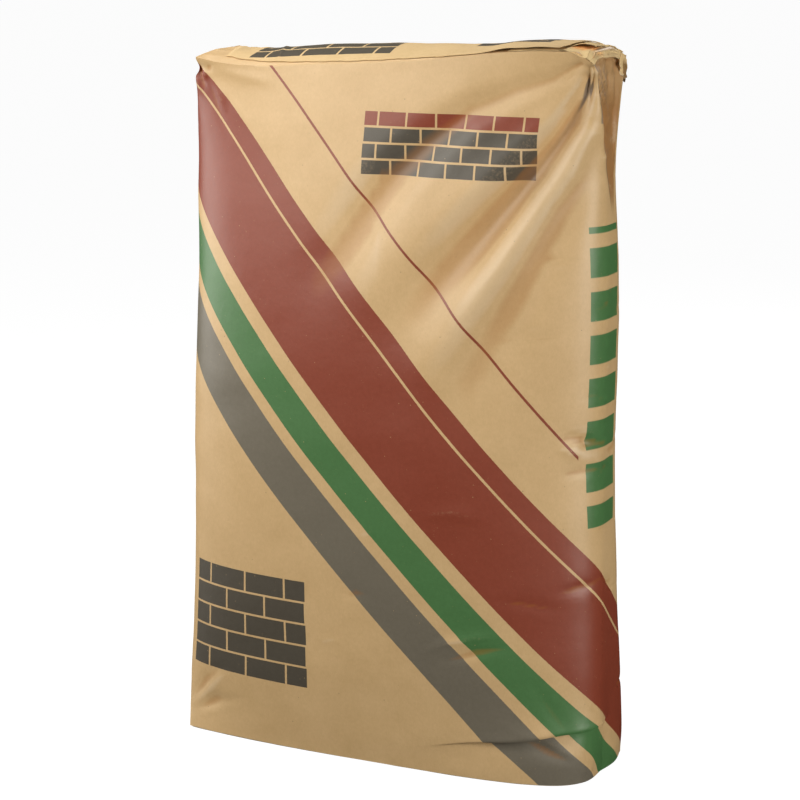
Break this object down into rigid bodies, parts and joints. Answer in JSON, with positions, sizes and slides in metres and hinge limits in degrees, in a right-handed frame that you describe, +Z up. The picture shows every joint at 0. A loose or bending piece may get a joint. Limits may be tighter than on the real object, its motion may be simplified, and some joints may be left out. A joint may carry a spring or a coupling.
{
  "type": "filled cement bag",
  "caption": "Filled block-bottom valve sack of brown kraft paper with diagonal printed stripes, standing upright on its flat bottom end.",
  "frame": {"origin": "on the floor, under the middle of the bag's bounding box", "axes": "+Z up along the bag, the longest side; the broad printed front face looks towards -Y; the filling valve is in the top corner on the +X side"},
  "size_m": [0.4341, 0.1568, 0.6923],
  "materials": {
    "printed_kraft_paper": "matt brown kraft paper with flat printed stripes",
    "patch_kraft_paper": "matt brown kraft paper",
    "bottom_kraft_paper": "matt brown kraft paper, scuffed",
    "sleeve_kraft_paper": "matt brown kraft paper, crumpled"
  },
  "bodies": {
    "root": {"sack_body": "printed_kraft_paper", "top_cover_patch": "patch_kraft_paper", "bottom_cover_patch": "bottom_kraft_paper", "valve_sleeve": "sleeve_kraft_paper"}
  },
  "joints": []
}
